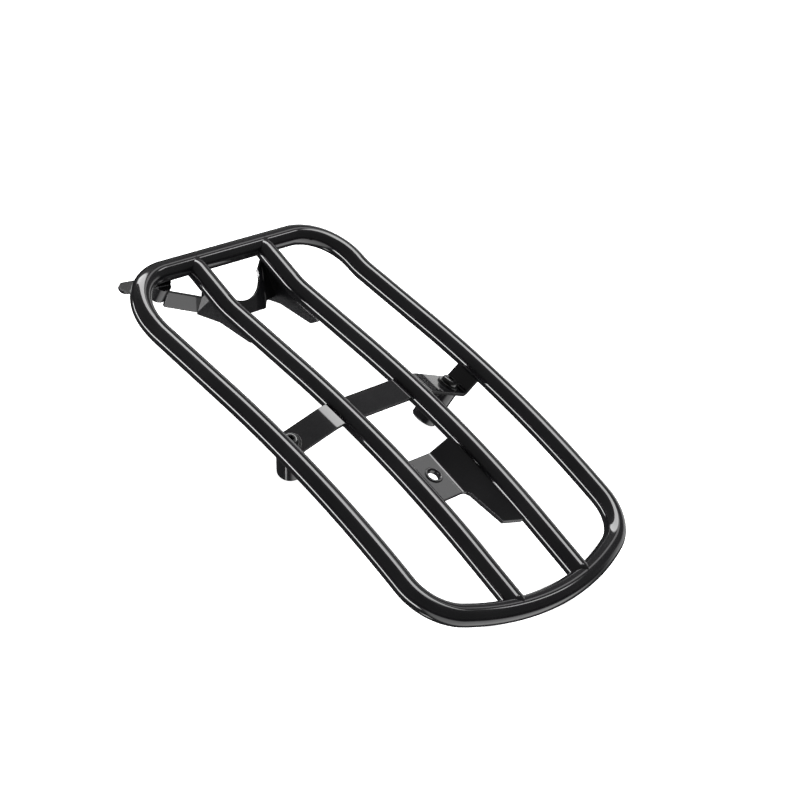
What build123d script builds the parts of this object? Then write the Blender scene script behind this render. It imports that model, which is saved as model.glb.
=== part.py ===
"""Small welded cargo rack for the front or rear of a cycle.

A bent round-bar hoop carries two round-bar centre rails. A cross strap of flat bar
ties rails and hoop together and carries two bolted stand-offs. A folded bracket with
a round notch hangs under the front of the rails, one with a bushed hole hangs between
them at the rear, and a strip with a small plate braces the front left corner.

+X points to the rear, +Y to the right, +Z up. The origin is the middle of the length
and width at the height of the lowest edge of the stand-offs. Millimetres.
"""
import os
from math import asin, atan2, cos, hypot, radians, sin, sqrt, tan

from build123d import *

# ---------------------------------------------------------------- bar frame
bar_dia = 12.7
side_half = 82.55  # middle of the rack to the centre line of a side bar
rail_half = 27.5  # middle of the rack to the centre line of a centre rail
front_corner_radius = 32.0
kick_angle = 11.1  # rise of the front end
kick_radius = 56.0
deck_run = 56.75  # level length behind the front bend
sweep_radius = 748.0  # long downward curve of the rear half
sweep_angle = 11.7
rear_corner_radius = 32.0
bow_radius = 165.0  # rear end bar

# ---------------------------------------------------------------- cross strap
strap_width = 17.0
strap_thickness = 2.0
strap_reach = 96.0  # along the bars from the front bend to the strap's middle
first_bend_half = 35.6  # middle of the rack to the first bend of a wing
first_bend_radius = 37.0
wing_slope = 22.2
outer_bend_inset = 8.25  # outer bend of a wing to the side bar's centre line, across the rack
outer_bend_radius = 2.6
end_pass = 3.222  # the wing's end runs this far below the side bar's centre line

# ---------------------------------------------------------------- stand-offs and bolts
bolt_inset = 9.7  # bolt axis to the outer bend, across the rack, on the wing's centre line
bolt_dia = 6.0
bolt_clearance = 0.3  # radial, through the washer, wing and stand-off
bolt_length = 16.0  # under the head
head_dia = 10.0
head_height = 3.3
head_round = 2.0
socket_across = 4.0
socket_depth = 2.2
washer_dia = 13.0
washer_thickness = 1.0
washer_gap = 0.1  # paint film under the washer
standoff_dia = 15.9
standoff_length = 24.2
edge_break = 0.6

# ---------------------------------------------------------------- sheet brackets
sheet = 2.0
panel_drop = 10.5  # rail centre line down to the top of the rear panel
panel_half = 9.8
panel_length = 31.0
panel_bend_radius = 4.5
rear_wing_slope = 41.0
rear_wing_half = 24.5
rear_reach = 170.2  # along the bars from the front bend to the rear bracket's middle
rear_length = 65.5
tail_root_half = 11.2
tail_root_run = 3.6
tail_tip_half = 13.5
tail_tip_run = 6.5
tail_tip_rise = 6.5
tail_root_radius = 3.0
tail_tip_radius = 6.0
bushing_reach = 18.6  # bushing axis ahead of the rear bracket's middle
bushing_dia = 10.6
bushing_bore = 7.0
bushing_length = 3.4
bushing_stand = 0.7  # above the panel
bushing_lead = 0.8

web_slope = 36.0
web_foot_x = -10.6  # lower edge of the web, from the end of the front bend
web_foot_z = -14.8
web_foot_half = 12.0
web_length = 31.0
web_horn_half = 18.0
web_horn_rise = 24.0
web_relief_half = 14.5
web_relief_rise = 4.0
web_side_rise = 5.6
notch_radius = 17.5
notch_rise = 25.8
wall_half = 24.5  # middle of the rack to the middle of a side wall
wall_front = -33.5
wall_throat_x = -29.6
wall_throat_z = -11.0
wall_drop = -22.3
wall_rear = 20.0
wall_tip_z = -11.1
wall_tip_x = 16.0
wall_waist_x = -10.4
wall_waist_z = -14.9
wall_inset = 2.5  # the walls run this far above the underside of the rails
wall_tip_radius = 5.0
wall_waist_radius = 6.0

brace_height = 11.0
brace_slope = 14.2
brace_turn = 16.3  # plan angle from straight across the rack
brace_start_x = -30.2
brace_start_y = -24.0
brace_start_z = -15.9
brace_inner = 4.5
brace_end_inset = 35.035  # outer end of the strip to the side bar's centre line

foot_length = 35.5
foot_width = 7.8
foot_turn = 6.0
foot_x = -41.4
foot_inset = 21.05  # middle of the plate to the side bar's centre line
boss_dia = 11.0
boss_length = 10.6
boss_rear = 1.1  # boss axis behind the plate's middle line
boss_inset = 12.2  # boss axis from the middle of the plate, towards the rack's middle
foot_bite = 0.35  # how deep the plate is coped over the bar

bar_radius = bar_dia / 2
outer_bend_half = side_half - outer_bend_inset
bolt_half = outer_bend_half - bolt_inset

# ---------------------------------------------------------------- side profile of the bars
kick_length = kick_radius * radians(kick_angle)
sweep_length = sweep_radius * radians(sweep_angle)
corner_offset = bow_radius - rear_corner_radius
corner_half = side_half - rear_corner_radius
corner_ahead = sqrt(corner_offset**2 - corner_half**2)
tail_run = bow_radius - corner_ahead

kick_start = front_corner_radius
deck_start = kick_start + kick_length
sweep_start = deck_start + deck_run
tail_start = sweep_start + sweep_length
tail_end = tail_start + tail_run


def profile(run):
    """Height and slope of the bars' centre line at a length along it from the front bar."""
    steps = (
        (kick_start, 0),
        (kick_length, 1 / kick_radius),
        (deck_run, 0),
        (sweep_length, -1 / sweep_radius),
        (tail_run, 0),
    )
    x, z, slope, left = 0.0, 0.0, -radians(kick_angle), run
    for length, bend in steps:
        step = min(left, length)
        turned = slope + step * bend
        if bend:
            x += (sin(turned) - sin(slope)) / bend
            z += (cos(slope) - cos(turned)) / bend
        else:
            x += step * cos(slope)
            z += step * sin(slope)
        slope = turned
        left -= step
    return x, z, slope


# ---------------------------------------------------------------- origin
strap_run = deck_start + strap_reach
wing_drop = (bolt_half - first_bend_half) * tan(radians(wing_slope))
half_strap = strap_thickness / 2
standoff_foot = half_strap + standoff_length
origin_x = (profile(tail_end)[0]) / 2
_, strap_z, strap_tilt = profile(strap_run)
foot_drop = wing_drop + standoff_foot * cos(radians(wing_slope))
rim_drop = (standoff_dia / 2 - edge_break) * sqrt(1 - (cos(radians(wing_slope)) * cos(strap_tilt)) ** 2)
origin_z = strap_z - foot_drop * cos(strap_tilt) - rim_drop


def on_bar(run, across):
    """Point on the bars' curved sheet at a length along it and a distance from the middle."""
    x, z, _ = profile(run)
    return Vector(x - origin_x, across, z - origin_z)


def bar_plane(run, across=0.0):
    """Plane on that point: x runs rearward along the bars, y to the right, z off the deck."""
    slope = profile(run)[2]
    return Plane(
        origin=on_bar(run, across),
        x_dir=(cos(slope), 0, sin(slope)),
        z_dir=(-sin(slope), 0, cos(slope)),
    )


def cross_plane(base):
    """Section plane of a bar_plane: x runs to the right, y off the deck, z rearward."""
    return Plane(origin=base.origin, x_dir=base.y_dir, z_dir=base.x_dir)


# ---------------------------------------------------------------- hoop
bow_centre = tail_end - bow_radius
corner_scale = bow_radius / corner_offset
bow_join = (bow_centre + corner_ahead * corner_scale, corner_half * corner_scale)
chord_x = corner_ahead / corner_offset
chord_y = 1 + corner_half / corner_offset
chord_size = sqrt(chord_x**2 + chord_y**2)
corner_mid = (
    tail_start + rear_corner_radius * chord_x / chord_size,
    corner_half + rear_corner_radius * chord_y / chord_size,
)
bow_mid_half = bow_join[1] / 2
bow_mid = (bow_centre + sqrt(bow_radius**2 - bow_mid_half**2), bow_mid_half)
front_mid_run = front_corner_radius * (1 - cos(radians(45)))
front_mid_half = side_half - front_mid_run

with BuildPart() as hoop:
    with BuildLine():
        Line(on_bar(0, 0), on_bar(0, side_half - front_corner_radius))
        ThreePointArc(
            on_bar(0, side_half - front_corner_radius),
            on_bar(front_mid_run, front_mid_half),
            on_bar(kick_start, side_half),
        )
        ThreePointArc(
            on_bar(kick_start, side_half),
            on_bar((kick_start + deck_start) / 2, side_half),
            on_bar(deck_start, side_half),
        )
        Line(on_bar(deck_start, side_half), on_bar(sweep_start, side_half))
        ThreePointArc(
            on_bar(sweep_start, side_half),
            on_bar((sweep_start + tail_start) / 2, side_half),
            on_bar(tail_start, side_half),
        )
        ThreePointArc(on_bar(tail_start, side_half), on_bar(*corner_mid), on_bar(*bow_join))
        ThreePointArc(on_bar(*bow_join), on_bar(*bow_mid), on_bar(tail_end, 0))
    with BuildSketch(Plane(origin=on_bar(0, 0), z_dir=(0, 1, 0))):
        Circle(bar_radius)
    sweep()
    mirror(about=Plane.XZ)


# ---------------------------------------------------------------- centre rails
def make_rail(across):
    """Round bar on the hoop's profile, coped onto the front bar and the rear bow."""
    rail_end = bow_centre + sqrt(bow_radius**2 - across**2)
    with BuildPart() as rail:
        with BuildLine():
            Line(on_bar(0, across), on_bar(kick_start, across))
            ThreePointArc(
                on_bar(kick_start, across),
                on_bar((kick_start + deck_start) / 2, across),
                on_bar(deck_start, across),
            )
            Line(on_bar(deck_start, across), on_bar(sweep_start, across))
            ThreePointArc(
                on_bar(sweep_start, across),
                on_bar((sweep_start + tail_start) / 2, across),
                on_bar(tail_start, across),
            )
            Line(on_bar(tail_start, across), on_bar(rail_end, across))
        with BuildSketch(cross_plane(bar_plane(0, across))):
            Circle(bar_radius)
        sweep()
        add(hoop.part, mode=Mode.SUBTRACT)
    return rail


rail_left = make_rail(-rail_half)
with BuildPart() as rail_right:
    mirror(rail_left.part, about=Plane.XZ)

# ---------------------------------------------------------------- cross strap
strap_plane = bar_plane(strap_run)

with BuildPart() as strap_plate:
    with BuildSketch(strap_plane.offset(-half_strap)):
        Rectangle(strap_width, 2 * rail_half)
    extrude(amount=strap_thickness)
    add(rail_left.part, mode=Mode.SUBTRACT)
    add(rail_right.part, mode=Mode.SUBTRACT)

wing_start = rail_half - bar_radius / 2
outer_bend_drop = (outer_bend_half - first_bend_half) * tan(radians(wing_slope))
end_reach = hypot(outer_bend_inset, outer_bend_drop)
end_rise = tan(atan2(outer_bend_drop, outer_bend_inset) - asin(end_pass / end_reach))
end_out = (outer_bend_inset + outer_bend_drop * end_rise) / (1 + end_rise**2)


def seat_plane(side, rise):
    """Plane square to the bolt, at a height over the wing's middle layer."""
    lean = side * sin(radians(wing_slope))
    normal = strap_plane.y_dir * lean + strap_plane.z_dir * cos(radians(wing_slope))
    centre = strap_plane.from_local_coords(Vector(0, side * bolt_half, -wing_drop))
    return Plane(origin=centre + normal * rise, x_dir=strap_plane.x_dir, z_dir=normal)


def make_wing(side, rail):
    """Bent flat bar from a centre rail down past the stand-off and up to a side bar."""
    with BuildPart() as wing:
        with BuildSketch(cross_plane(strap_plane)):
            with BuildLine() as layer:
                Polyline(
                    (side * wing_start, 0),
                    (side * first_bend_half, 0),
                    (side * outer_bend_half, -outer_bend_drop),
                    (side * (outer_bend_half + end_out), end_out * end_rise - outer_bend_drop),
                )
                bends = layer.vertices().sort_by(SortBy.DISTANCE)
                fillet(bends[1], radius=first_bend_radius)
                bends = layer.vertices().sort_by(Axis.Y)
                fillet(bends[0], radius=outer_bend_radius)
            trace(line_width=strap_thickness)
        extrude(amount=strap_width / 2, both=True)
        with BuildSketch(seat_plane(side, 0)):
            Circle(bolt_dia / 2 + bolt_clearance)
        extrude(amount=strap_thickness, both=True, mode=Mode.SUBTRACT)
        add(hoop.part, mode=Mode.SUBTRACT)
        add(rail.part, mode=Mode.SUBTRACT)
    return wing


def make_standoff(side):
    """Round sleeve under a wing, open right through."""
    with BuildPart() as standoff:
        with BuildSketch(seat_plane(side, -half_strap)):
            Circle(standoff_dia / 2)
            Circle(bolt_dia / 2 + bolt_clearance, mode=Mode.SUBTRACT)
        extrude(amount=-standoff_length)
        foot = standoff.faces().filter_by(GeomType.PLANE).sort_by(Axis.Z)[0]
        chamfer(foot.edges(), length=edge_break)
    return standoff


def make_washer(side):
    with BuildPart() as washer:
        with BuildSketch(seat_plane(side, half_strap + washer_gap)):
            Circle(washer_dia / 2)
            Circle(bolt_dia / 2 + bolt_clearance, mode=Mode.SUBTRACT)
        extrude(amount=washer_thickness)
    return washer


def make_bolt(side):
    """Button-head socket bolt, its shank ending inside the stand-off."""
    head_seat = half_strap + washer_gap + washer_thickness
    with BuildPart() as bolt:
        with BuildSketch(seat_plane(side, head_seat)):
            Circle(head_dia / 2)
        extrude(amount=head_height)
        top = bolt.faces().filter_by(GeomType.PLANE).sort_by(Axis.Z)[-1]
        fillet(top.edges(), radius=head_round)
        with BuildSketch(seat_plane(side, head_seat)):
            Circle(bolt_dia / 2)
        extrude(amount=-bolt_length)
        tip = bolt.faces().filter_by(GeomType.PLANE).sort_by(Axis.Z)[0]
        chamfer(tip.edges(), length=edge_break)
        with BuildSketch(seat_plane(side, head_seat + head_height)):
            RegularPolygon(radius=socket_across / 2, side_count=6, major_radius=False)
        extrude(amount=-socket_depth, mode=Mode.SUBTRACT)
    return bolt


wing_left = make_wing(-1, rail_left)
wing_right = make_wing(1, rail_right)
standoff_left = make_standoff(-1)
standoff_right = make_standoff(1)
washer_left = make_washer(-1)
washer_right = make_washer(1)
bolt_left = make_bolt(-1)
bolt_right = make_bolt(1)

# ---------------------------------------------------------------- rear bracket
rear_plane = bar_plane(deck_start + rear_reach)
panel_layer = panel_drop + sheet / 2
rear_wing_rise = (rear_wing_half - panel_half) * tan(radians(rear_wing_slope))
rear_front = -rear_length / 2
panel_rear = rear_front + panel_length
tail_bend = rear_length / 2 - tail_tip_run
bushing_plane = Plane(
    origin=rear_plane.from_local_coords(Vector(-bushing_reach, 0, bushing_stand - panel_drop)),
    x_dir=rear_plane.x_dir,
    z_dir=rear_plane.z_dir,
)

with BuildPart() as rear_bracket:
    with BuildSketch(cross_plane(rear_plane)):
        with BuildLine() as rear_layer:
            Polyline(
                (-rear_wing_half, rear_wing_rise - panel_layer),
                (-panel_half, -panel_layer),
                (panel_half, -panel_layer),
                (rear_wing_half, rear_wing_rise - panel_layer),
            )
            for fold in rear_layer.vertices().group_by(Axis.Y)[0]:
                fillet(fold, radius=panel_bend_radius)
        trace(line_width=sheet)
    extrude(amount=rear_length / 2, both=True)
    with BuildSketch(rear_plane):
        with BuildLine():
            Polyline(
                (panel_rear, -panel_half),
                (panel_rear, panel_half),
                (panel_rear + tail_root_run, tail_root_half),
                (tail_bend, tail_tip_half),
                (rear_length / 2, tail_tip_half + tail_tip_rise),
                (rear_length / 2 + sheet, side_half),
                (rear_length, side_half),
                (rear_length, -side_half),
                (rear_length / 2 + sheet, -side_half),
                (rear_length / 2, -tail_tip_half - tail_tip_rise),
                (tail_bend, -tail_tip_half),
                (panel_rear + tail_root_run, -tail_root_half),
                close=True,
            )
        opening = make_face()
        fillet(opening.vertices().group_by(Axis.X)[0], radius=tail_root_radius)
        tips = [(tail_bend, tail_tip_half), (tail_bend, -tail_tip_half)]
        for tip in tips:
            fillet(opening.vertices().sort_by_distance(Vector(*tip))[0], radius=tail_tip_radius)
    extrude(amount=panel_drop * 2, both=True, mode=Mode.SUBTRACT)
    with BuildSketch(bushing_plane):
        Circle(bushing_dia / 2)
    extrude(amount=sheet * 2, both=True, mode=Mode.SUBTRACT)
    add(rail_left.part, mode=Mode.SUBTRACT)
    add(rail_right.part, mode=Mode.SUBTRACT)

with BuildPart() as rear_bushing:
    with BuildSketch(bushing_plane):
        Circle(bushing_dia / 2)
        Circle(bushing_bore / 2, mode=Mode.SUBTRACT)
    extrude(amount=-bushing_length)
    rim = rear_bushing.faces().filter_by(GeomType.PLANE).sort_by(Axis.Z)[-1]
    chamfer(rim.inner_wires().edges(), length=bushing_lead)

# ---------------------------------------------------------------- front bracket
front_plane = bar_plane(deck_start)
web_up = front_plane.x_dir * -cos(radians(web_slope)) + front_plane.z_dir * sin(radians(web_slope))
web_plane = Plane(
    origin=front_plane.from_local_coords(Vector(web_foot_x, 0, web_foot_z)),
    x_dir=front_plane.y_dir,
    z_dir=front_plane.y_dir.cross(web_up),
)


def under_rail(run):
    """Point of a wall's top edge, inside the rail above it, in the front section plane."""
    x, z, _ = profile(run)
    flat_x, flat_z, _ = profile(deck_start)
    return (x - flat_x, z - flat_z - wall_inset)


front_run = (wall_front - under_rail(0)[0]) / cos(radians(kick_angle))

foot_run = foot_x - under_rail(0)[0]
foot_plane = bar_plane(foot_run, foot_inset - side_half).offset(foot_bite - bar_radius)

with BuildPart() as brace_foot:
    with BuildSketch(foot_plane):
        SlotOverall(foot_length, foot_width, rotation=90 - foot_turn)
    extrude(amount=-sheet)
    add(hoop.part, mode=Mode.SUBTRACT)

with BuildPart() as brace_boss:
    with BuildSketch(foot_plane.offset(-sheet)):
        with Locations((boss_rear + boss_inset * sin(radians(foot_turn)), boss_inset)):
            Circle(boss_dia / 2)
    extrude(amount=-boss_length)
    rim = brace_boss.faces().filter_by(GeomType.PLANE).sort_by(Axis.Z)[0]
    chamfer(rim.edges(), length=edge_break)

brace_way = front_plane.y_dir * -cos(radians(brace_turn)) - front_plane.x_dir * sin(radians(brace_turn))
brace_plane = Plane(
    origin=front_plane.from_local_coords(Vector(brace_start_x, brace_start_y, brace_start_z)),
    x_dir=brace_way,
    z_dir=brace_way.cross(front_plane.z_dir),
)
brace_outer = (side_half - brace_end_inset + brace_start_y) / cos(radians(brace_turn))
brace_climb = tan(radians(brace_slope))
half_brace = brace_height / 2

with BuildPart() as front_brace:
    with BuildSketch(brace_plane):
        with BuildLine():
            Polyline(
                (-brace_inner, -brace_inner * brace_climb - half_brace),
                (brace_outer, brace_outer * brace_climb - half_brace),
                (brace_outer, brace_outer * brace_climb + half_brace),
                (-brace_inner, -brace_inner * brace_climb + half_brace),
                close=True,
            )
        make_face()
    extrude(amount=sheet / 2, both=True)
    add(brace_foot.part, mode=Mode.SUBTRACT)
    add(brace_boss.part, mode=Mode.SUBTRACT)

with BuildPart() as front_bracket:
    with BuildSketch(web_plane):
        with BuildLine():
            Polyline(
                (-web_foot_half, 0),
                (web_foot_half, 0),
                (web_relief_half, web_relief_rise),
                (wall_half, web_side_rise),
                (wall_half, web_length),
                (web_horn_half, web_horn_rise),
                (-web_horn_half, web_horn_rise),
                (-wall_half, web_length),
                (-wall_half, web_side_rise),
                (-web_relief_half, web_relief_rise),
                close=True,
            )
        make_face()
        with Locations((0, notch_rise)):
            Circle(notch_radius, mode=Mode.SUBTRACT)
    extrude(amount=-sheet)
    for side in (-1, 1):
        wall_plane = Plane(
            origin=front_plane.from_local_coords(Vector(0, side * wall_half, 0)),
            x_dir=front_plane.x_dir,
            z_dir=-front_plane.y_dir,
        )
        with BuildSketch(wall_plane):
            with BuildLine():
                Polyline(
                    under_rail(front_run),
                    (wall_throat_x, wall_throat_z),
                    (wall_throat_x, wall_drop),
                    (wall_waist_x, wall_waist_z),
                    (wall_tip_x, wall_tip_z),
                    (wall_rear, wall_tip_z + wall_rear - wall_tip_x),
                    (wall_rear, -wall_inset),
                    under_rail(deck_start),
                    under_rail(kick_start),
                    close=True,
                )
            outline = make_face()
            toe = outline.vertices().sort_by_distance(Vector(wall_tip_x, wall_tip_z))[0]
            fillet(toe, radius=wall_tip_radius)
            waist = outline.vertices().sort_by_distance(Vector(wall_waist_x, wall_waist_z))[0]
            fillet(waist, radius=wall_waist_radius)
        extrude(amount=sheet / 2, both=True)
    add(rail_left.part, mode=Mode.SUBTRACT)
    add(rail_right.part, mode=Mode.SUBTRACT)
    add(front_brace.part, mode=Mode.SUBTRACT)

# ---------------------------------------------------------------- export
pieces = {
    "hoop": hoop,
    "rail_left": rail_left,
    "rail_right": rail_right,
    "strap_plate": strap_plate,
    "wing_left": wing_left,
    "wing_right": wing_right,
    "standoff_left": standoff_left,
    "standoff_right": standoff_right,
    "washer_left": washer_left,
    "washer_right": washer_right,
    "bolt_left": bolt_left,
    "bolt_right": bolt_right,
    "front_bracket": front_bracket,
    "front_brace": front_brace,
    "brace_foot": brace_foot,
    "brace_boss": brace_boss,
    "rear_bracket": rear_bracket,
    "rear_bushing": rear_bushing,
}
os.makedirs("parts", exist_ok=True)
for name, piece in pieces.items():
    piece.part.label = name
    export_step(piece.part, f"parts/{name}.step")
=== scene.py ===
from math import asin, cos, pi, radians, sin, sqrt

import bmesh
import bpy
from mathutils import Matrix, Vector


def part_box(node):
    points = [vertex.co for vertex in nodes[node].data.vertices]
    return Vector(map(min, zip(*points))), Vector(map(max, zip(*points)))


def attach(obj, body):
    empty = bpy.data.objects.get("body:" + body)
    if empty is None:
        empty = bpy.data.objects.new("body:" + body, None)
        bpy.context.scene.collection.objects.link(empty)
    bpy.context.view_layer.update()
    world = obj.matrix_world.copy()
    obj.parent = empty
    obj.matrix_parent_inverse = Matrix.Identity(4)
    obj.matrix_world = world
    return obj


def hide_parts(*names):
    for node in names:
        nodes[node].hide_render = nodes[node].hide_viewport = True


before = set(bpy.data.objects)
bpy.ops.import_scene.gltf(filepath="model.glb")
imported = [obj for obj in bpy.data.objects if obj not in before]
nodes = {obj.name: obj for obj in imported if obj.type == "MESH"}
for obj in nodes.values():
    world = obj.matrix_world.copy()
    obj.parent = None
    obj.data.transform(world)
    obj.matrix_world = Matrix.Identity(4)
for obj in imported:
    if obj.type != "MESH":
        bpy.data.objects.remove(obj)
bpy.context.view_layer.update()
scene = bpy.context.scene

# ------------------------------------------------------------------ sizes shared with the CAD, metres
BAR_R = 0.00635
SIDE_Y = 0.08255
RAIL_Y = 0.0275
FRONT_R = 0.032
KICK = radians(11.1)
KICK_R = 0.056
DECK = 0.05675
SWEEP_R = 0.748
SWEEP = radians(11.7)
REAR_R = 0.032
BOW_R = 0.165

AHEAD = sqrt((BOW_R - REAR_R) ** 2 - (SIDE_Y - REAR_R) ** 2)
S_KICK = FRONT_R
S_DECK = S_KICK + KICK_R * KICK
S_SWEEP = S_DECK + DECK
S_TAIL = S_SWEEP + SWEEP_R * SWEEP
S_END = S_TAIL + BOW_R - AHEAD
BOW_S = S_END - BOW_R


def profile(s):
    """x, z and slope of the bars' centre line at a length s from the front bar."""
    stretches = (
        (S_KICK, 0.0),
        (KICK_R * KICK, 1 / KICK_R),
        (DECK, 0.0),
        (SWEEP_R * SWEEP, -1 / SWEEP_R),
        (S_END - S_TAIL, 0.0),
    )
    x, z, a, left = 0.0, 0.0, -KICK, s
    for length, bend in stretches:
        step = min(left, length)
        turned = a + step * bend
        if bend:
            x += (sin(turned) - sin(a)) / bend
            z += (cos(a) - cos(turned)) / bend
        else:
            x += step * cos(a)
            z += step * sin(a)
        a = turned
        left -= step
    return x, z, a


_, hoop_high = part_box("hoop")
MID_X = profile(S_END)[0] / 2
DROP_Z = hoop_high.z - BAR_R  # the front bar is the highest


def at(s, y):
    x, z, _ = profile(s)
    return Vector((x - MID_X, y, z + DROP_Z))


# ------------------------------------------------------------------ materials
def new_material(name):
    m = bpy.data.materials.new(name)
    m.use_nodes = True
    t = m.node_tree
    t.nodes.clear()
    out = t.nodes.new("ShaderNodeOutputMaterial")
    b = t.nodes.new("ShaderNodeBsdfPrincipled")
    t.links.new(b.outputs["BSDF"], out.inputs["Surface"])
    return m, t, b


def noise(t, scale, detail=3.0, rough=0.5):
    c = t.nodes.new("ShaderNodeTexCoord")
    n = t.nodes.new("ShaderNodeTexNoise")
    n.inputs["Scale"].default_value = scale
    n.inputs["Detail"].default_value = detail
    n.inputs["Roughness"].default_value = rough
    t.links.new(c.outputs["Object"], n.inputs["Vector"])
    return n.outputs["Fac"]


def span(t, value, low, high):
    r = t.nodes.new("ShaderNodeMapRange")
    r.inputs["From Min"].default_value = 0.3
    r.inputs["From Max"].default_value = 0.7
    r.inputs["To Min"].default_value = low
    r.inputs["To Max"].default_value = high
    t.links.new(value, r.inputs["Value"])
    return r.outputs["Result"]


def tint(t, value, low, high):
    r = t.nodes.new("ShaderNodeValToRGB")
    r.color_ramp.elements[0].position = 0.3
    r.color_ramp.elements[0].color = (*low, 1)
    r.color_ramp.elements[1].position = 0.7
    r.color_ramp.elements[1].color = (*high, 1)
    t.links.new(value, r.inputs["Fac"])
    return r.outputs["Color"]


def gloss_paint(name, low, high, rough, peel, edge, coat=1.0, spec=0.04):
    """Black finish under a clear coat: orange peel, faint tone drift, eased edges."""
    m, t, b = new_material(name)
    t.links.new(tint(t, noise(t, 35.0), low, high), b.inputs["Base Color"])
    t.links.new(span(t, noise(t, 90.0, 4.0), rough[0], rough[1]), b.inputs["Roughness"])
    b.inputs["Specular IOR Level"].default_value = spec
    b.inputs["Coat Weight"].default_value = coat
    b.inputs["Coat Roughness"].default_value = 0.035
    b.inputs["Coat IOR"].default_value = 1.5
    bump = t.nodes.new("ShaderNodeBump")
    bump.inputs["Strength"].default_value = peel
    bump.inputs["Distance"].default_value = 0.00012
    t.links.new(noise(t, 900.0, 2.0), bump.inputs["Height"])
    if edge:
        bevel = t.nodes.new("ShaderNodeBevel")
        bevel.samples = 6
        bevel.inputs["Radius"].default_value = edge
        t.links.new(bevel.outputs["Normal"], bump.inputs["Normal"])
    t.links.new(bump.outputs["Normal"], b.inputs["Normal"])
    t.links.new(bump.outputs["Normal"], b.inputs["Coat Normal"])
    return m


NEAR_BLACK = (0.004, 0.004, 0.005)
paint_bar = gloss_paint(
    "enamel_bar", low=NEAR_BLACK, high=(0.009, 0.009, 0.010), rough=(0.28, 0.42), peel=0.05, edge=0
)
paint_sheet = gloss_paint(
    "enamel_sheet", low=NEAR_BLACK, high=(0.010, 0.010, 0.011), rough=(0.30, 0.45), peel=0.035, edge=0.0005
)
paint_screw = gloss_paint(
    "black_oxide",
    low=(0.005, 0.005, 0.006),
    high=(0.012, 0.012, 0.012),
    rough=(0.24, 0.40),
    peel=0.05,
    edge=0.0003,
    coat=0.7,
    spec=0.15,
)

SCREWS = {"bolt_left", "bolt_right", "washer_left", "washer_right"}
for name, o in nodes.items():
    o.data.materials.clear()
    o.data.materials.append(paint_screw if name in SCREWS else paint_sheet)

# ------------------------------------------------------------------ bars, on the CAD's centre lines
RING = 72  # points round a bar
BEND_STEP = 0.0006
CORNER_STEP = 0.0012
GENTLE_STEP = 0.003  # along the long curves
STRAIGHT_STEP = 0.006


def swept(name, points, closed, cad_node):
    """Round tube through points, its rings carried along without twist."""
    bm = bmesh.new()
    count = len(points)
    rings = []
    side = None
    for i, p in enumerate(points):
        if closed:
            d = points[(i + 1) % count] - points[i - 1]
        else:
            d = points[min(i + 1, count - 1)] - points[max(i - 1, 0)]
        d.normalize()
        if side is None:
            side = Vector((0, 0, 1)).cross(d)
        side = (side - d * side.dot(d)).normalized()
        up = d.cross(side)
        rings.append(
            [
                bm.verts.new(p + (side * cos(2 * pi * k / RING) + up * sin(2 * pi * k / RING)) * BAR_R)
                for k in range(RING)
            ]
        )
    pairs = range(count) if closed else range(count - 1)
    for i in pairs:
        a, c = rings[i], rings[(i + 1) % count]
        for k in range(RING):
            bm.faces.new((a[k], a[(k + 1) % RING], c[(k + 1) % RING], c[k])).smooth = True
    if not closed:
        bm.faces.new(rings[0][::-1])
        bm.faces.new(rings[-1])
    bmesh.ops.recalc_face_normals(bm, faces=bm.faces)
    me = bpy.data.meshes.new(name)
    bm.to_mesh(me)
    bm.free()
    o = bpy.data.objects.new(name, me)
    scene.collection.objects.link(o)
    me.materials.append(paint_bar)
    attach(o, "rack")
    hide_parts(cad_node)
    return o


def steps(a, b, size):
    n = max(1, round(abs(b - a) / size))
    return [a + (b - a) * i / n for i in range(n)]


def side_runs():
    """Lengths along a bar: coarse on the straights, fine in the bends."""
    runs = steps(S_KICK, S_DECK, BEND_STEP)
    runs += steps(S_DECK, S_SWEEP, STRAIGHT_STEP)
    runs += steps(S_SWEEP, S_TAIL, GENTLE_STEP)
    return runs


half = [at(0, y) for y in steps(0, SIDE_Y - FRONT_R, STRAIGHT_STEP)]
for a in steps(0, pi / 2, CORNER_STEP / FRONT_R):
    half.append(at(FRONT_R * (1 - cos(a)), SIDE_Y - FRONT_R + FRONT_R * sin(a)))
half += [at(s, SIDE_Y) for s in side_runs()]
join = asin((SIDE_Y - REAR_R) / (BOW_R - REAR_R))
for a in steps(pi / 2, join, CORNER_STEP / REAR_R):
    half.append(at(S_TAIL + REAR_R * cos(a), SIDE_Y - REAR_R + REAR_R * sin(a)))
for a in steps(join, 0, GENTLE_STEP / BOW_R):
    half.append(at(BOW_S + BOW_R * cos(a), BOW_R * sin(a)))
half.append(at(S_END, 0))
loop = half + [Vector((p.x, -p.y, p.z)) for p in half[-2:0:-1]]
swept("hoop_bar", loop, True, "hoop")

rail_end = BOW_S + sqrt(BOW_R**2 - RAIL_Y**2)
for side, label in ((-1, "left"), (1, "right")):
    runs = steps(0.0, S_KICK, STRAIGHT_STEP) + side_runs()
    runs += steps(S_TAIL, rail_end, STRAIGHT_STEP) + [rail_end]
    swept("rail_bar_" + label, [at(s, side * RAIL_Y) for s in runs], False, "rail_" + label)

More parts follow.
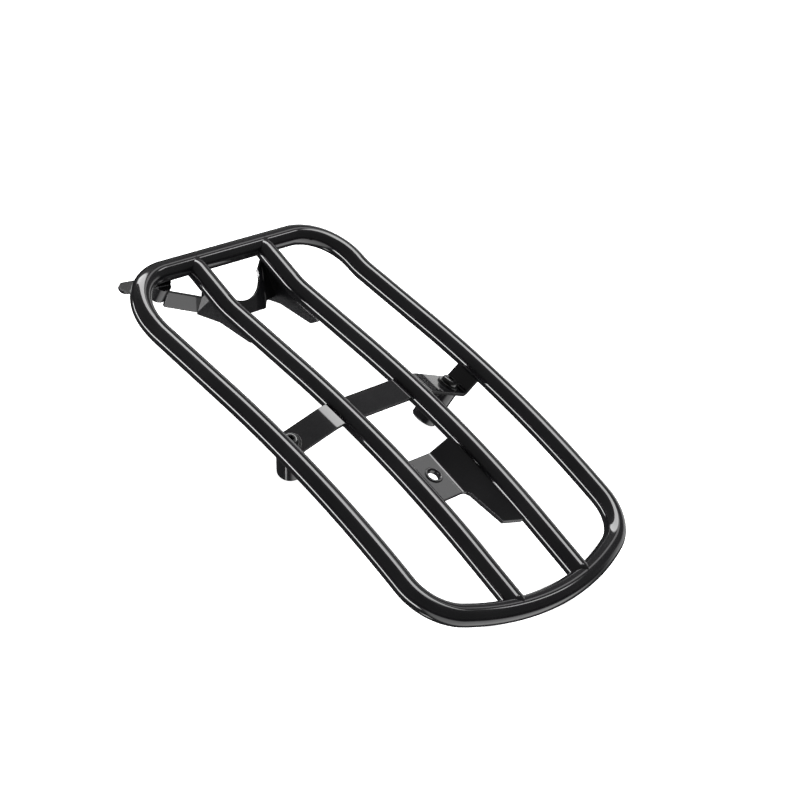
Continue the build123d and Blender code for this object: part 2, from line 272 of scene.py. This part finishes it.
# ------------------------------------------------------------------ floor
FLOOR_HALF = 6.0
FLOOR_GAP = 0.0005  # keeps the floor clear of the stand-offs
floor_mesh = bpy.data.meshes.new("floor")
bm = bmesh.new()
bmesh.ops.create_grid(bm, x_segments=2, y_segments=2, size=FLOOR_HALF)
bm.to_mesh(floor_mesh)
bm.free()
floor = bpy.data.objects.new("floor", floor_mesh)
floor.location = (0, 0, -FLOOR_GAP)
scene.collection.objects.link(floor)
m, t, b = new_material("pale_floor")
b.inputs["Base Color"].default_value = (0.9, 0.9, 0.9, 1)
b.inputs["Roughness"].default_value = 0.9
b.inputs["Emission Color"].default_value = (1, 1, 1, 1)
b.inputs["Emission Strength"].default_value = 1.0
floor_mesh.materials.append(m)
floor.visible_glossy = False
floor.visible_diffuse = False
floor.visible_shadow = False

# ------------------------------------------------------------------ studio light
world = bpy.data.worlds.new("studio")
scene.world = world
world.use_nodes = True
t = world.node_tree
t.nodes.clear()
w_out = t.nodes.new("ShaderNodeOutputWorld")
w_bg = t.nodes.new("ShaderNodeBackground")
t.links.new(w_bg.outputs["Background"], w_out.inputs["Surface"])
w_dir = t.nodes.new("ShaderNodeSeparateXYZ")
w_co = t.nodes.new("ShaderNodeTexCoord")
t.links.new(w_co.outputs["Generated"], w_dir.inputs["Vector"])


def calc(op, a, c):
    n = t.nodes.new("ShaderNodeMath")
    n.operation = op
    for i, v in enumerate((a, c)):
        if isinstance(v, (int, float)):
            n.inputs[i].default_value = v
        else:
            t.links.new(v, n.inputs[i])
    return n.outputs[0]


def ease(v, low, high, a=0.0, c=1.0):
    n = t.nodes.new("ShaderNodeMapRange")
    n.interpolation_type = "SMOOTHSTEP"
    n.inputs["From Min"].default_value = low
    n.inputs["From Max"].default_value = high
    n.inputs["To Min"].default_value = a
    n.inputs["To Max"].default_value = c
    t.links.new(v, n.inputs["Value"])
    return n.outputs["Result"]


def window(v, low, rise, fall, high):
    """1 between rise and fall, 0 outside low and high."""
    return calc("MULTIPLY", ease(v, low, rise), ease(v, fall, high, 1.0, 0.0))


# a reflection direction: X is rearward, turn is the angle round X from straight up towards +Y
X, Y, Z = (w_dir.outputs[k] for k in ("X", "Y", "Z"))
turn = calc("ARCTAN2", Y, Z)
sky = ease(Z, -0.05, 0.25, 0.04, 0.17)
# each lamp: strength, its span round the X axis from straight up, its span along X
lamps = (
    (9.0, window(turn, 0.17, 0.22, 0.58, 0.66), window(X, -0.98, -0.90, 0.0, 0.22)),
    (1.9, window(turn, 0.55, 0.65, 0.82, 0.90), window(X, -0.33, -0.29, -0.16, -0.11)),
    (7.0, window(turn, 0.66, 0.70, 0.80, 0.84), window(X, 0.06, 0.10, 0.17, 0.21)),
    (15.0, window(turn, -2.22, -2.18, -2.03, -1.99), window(X, -0.95, -0.90, 0.2, 0.4)),
    (4.0, window(turn, -2.98, -2.94, -2.80, -2.74), window(X, 0.02, 0.06, 0.20, 0.26)),
    (1.1, window(turn, 1.25, 1.40, 1.80, 1.95), window(X, -0.80, -0.60, 0.30, 0.50)),
    (2.1, ease(Z, -0.15, -0.35), window(X, 0.35, 0.60, 0.95, 1.0)),
)
light = sky
for power, across, along in lamps:
    light = calc("ADD", light, calc("MULTIPLY", calc("MULTIPLY", across, along), power))
t.links.new(light, w_bg.inputs["Strength"])
w_bg.inputs["Color"].default_value = (1, 1, 1, 1)

# ------------------------------------------------------------------ camera
CAM_AT = Vector((0.565236, -0.834722, 0.745757))
CAM_TURN = radians(-56.233077)  # direction of the camera from the rack, round Z from +X
CAM_RISE = radians(34.791853)
CAM_ROLL = radians(19.965129)

cam = bpy.data.objects.new("camera", bpy.data.cameras.new("camera"))
scene.collection.objects.link(cam)
cam.data.sensor_width = 36.0
cam.data.lens = 97.50966
cam.data.clip_end = 20
aim = Matrix.Rotation(CAM_TURN + pi / 2, 4, "Z") @ Matrix.Rotation(pi / 2 - CAM_RISE, 4, "X")
cam.matrix_world = Matrix.Translation(CAM_AT) @ aim @ Matrix.Rotation(CAM_ROLL, 4, "Z")
scene.camera = cam
scene.view_settings.view_transform = "Standard"
